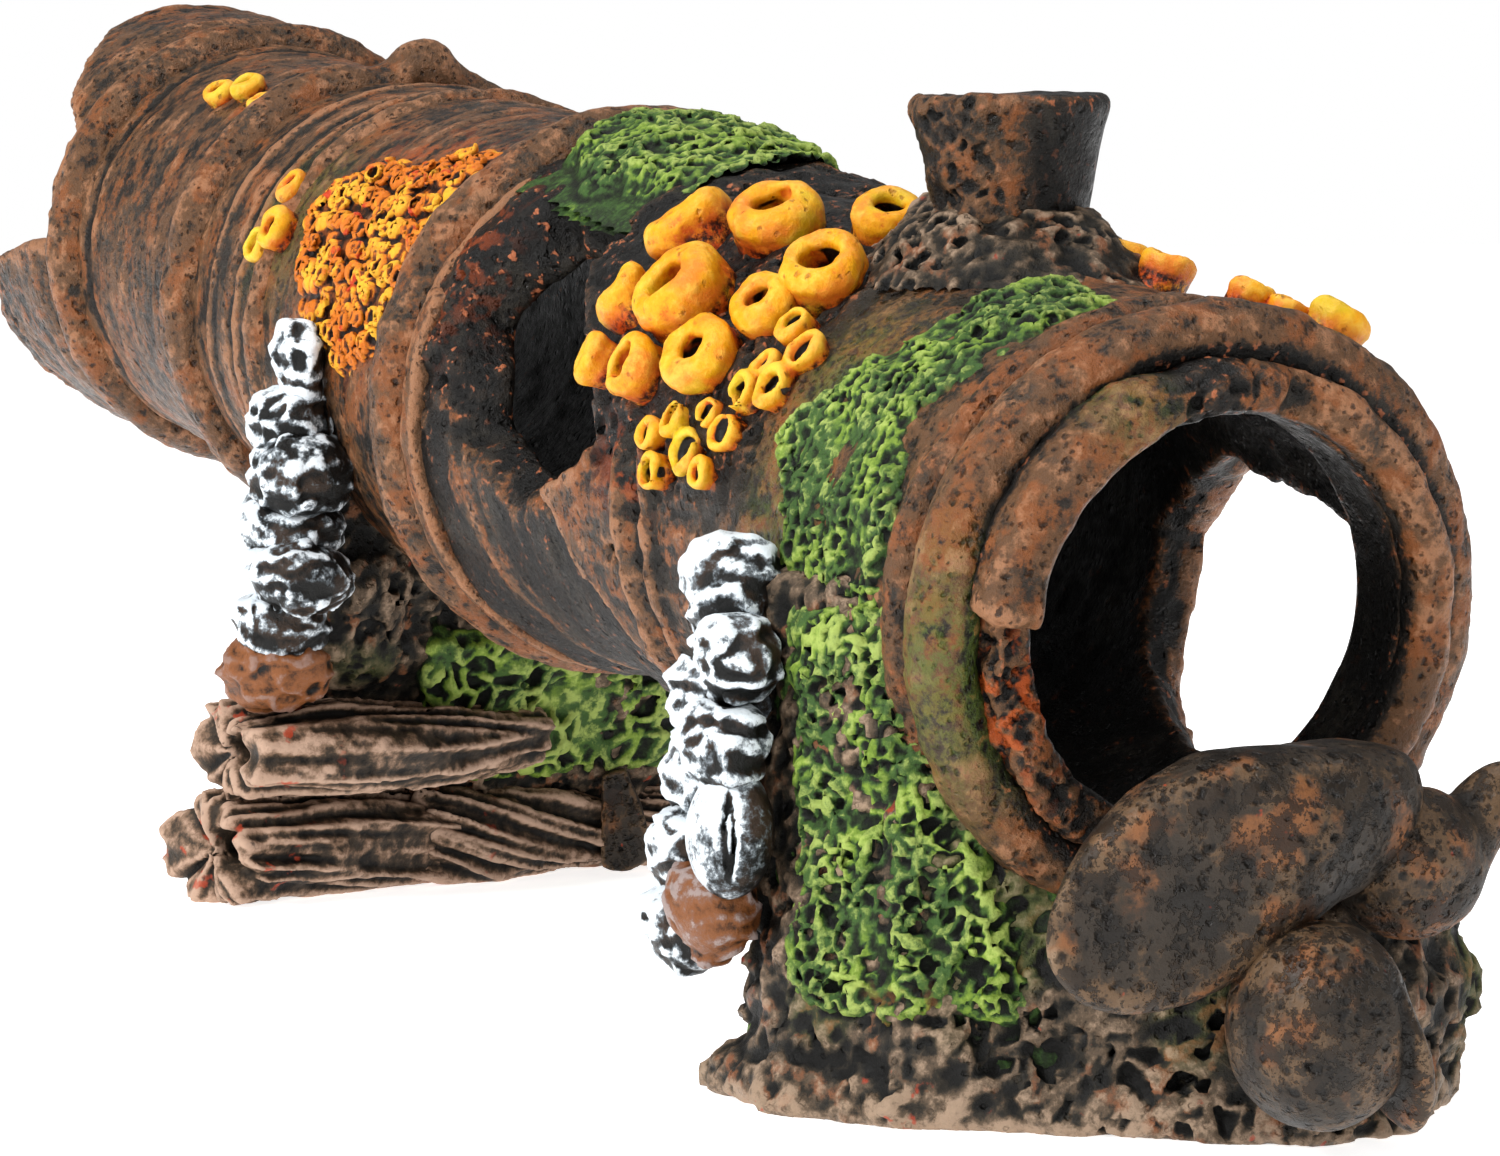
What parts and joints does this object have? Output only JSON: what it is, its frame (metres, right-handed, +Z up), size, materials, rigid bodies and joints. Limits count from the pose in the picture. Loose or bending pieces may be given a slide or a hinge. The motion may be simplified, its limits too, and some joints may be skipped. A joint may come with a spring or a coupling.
{
  "type": "resin cave ornament",
  "caption": "Aquarium cave ornament shaped as a broken sunken cannon on rocks and driftwood, hollow from mouth to breech, with barnacles, shells and moss.",
  "frame": {"origin": "centre of the footprint of the whole ornament, on the surface it stands on", "axes": "+X along the cannon towards the muzzle, -Y the side with the window and the shells, +Z up"},
  "size_m": [0.3047, 0.0772, 0.1031],
  "materials": {
    "cannon": "painted cast resin, black-brown base dry-brushed with rust orange",
    "rock": "painted cast resin, rough black with brown dry-brushing",
    "boulder": "painted cast resin, smooth pitted brown",
    "driftwood": "painted cast resin, wood grain, pinkish tan over black-brown",
    "barnacle": "painted cast resin, yellow to orange",
    "coral": "painted cast resin, rough orange crust",
    "moss": "painted cast resin, dark to yellow-green crust",
    "shell": "painted cast resin, black with pale blue-white brushing"
  },
  "bodies": {
    "root": {"boulder": "boulder", "boulder_lobe": "boulder", "break_collar": "cannon", "break_flange": "cannon", "break_hoop": "cannon", "breech_ring": "cannon", "cannonball": "boulder", "coral_crust": "coral", "driftwood_lower": "driftwood", "driftwood_root": "driftwood", "driftwood_upper": "driftwood", "front_barrel": "cannon", "front_leg_moss": "moss", "front_rock_base": "rock", "front_shell_1": "shell", "front_shell_2": "shell", "front_shell_3": "shell", "front_shell_4": "shell", "front_shell_5": "shell", "front_shell_6": "shell", "front_shell_7": "shell", "front_shell_8": "shell", "front_shell_9": "shell", "large_barnacle_01": "barnacle", "large_barnacle_02": "barnacle", "large_barnacle_03": "barnacle", "large_barnacle_04": "barnacle", "large_barnacle_05": "barnacle", "large_barnacle_06": "barnacle", "large_barnacle_07": "barnacle", "large_barnacle_08": "barnacle", "large_barnacle_09": "barnacle", "large_barnacle_10": "barnacle", "moss_band": "moss", "mouth_barnacles": "barnacle", "muzzle_lip": "cannon", "muzzle_neck": "cannon", "muzzle_ring": "cannon", "neck_ring": "cannon", "rear_barnacles": "barnacle", "rear_barrel": "cannon", "rear_leg_moss": "moss", "rear_rock_leg": "rock", "rear_shell_1": "shell", "rear_shell_2": "shell", "rear_shell_3": "shell", "rear_shell_4": "shell", "rear_shell_5": "shell", "rear_shell_6": "shell", "rear_shell_7": "shell", "second_hoop": "cannon", "small_barnacles": "barnacle", "stone_chip": "rock", "stub_collar": "rock", "top_moss": "moss", "trunnion_stub": "cannon", "waist_band": "cannon"}
  },
  "joints": []
}
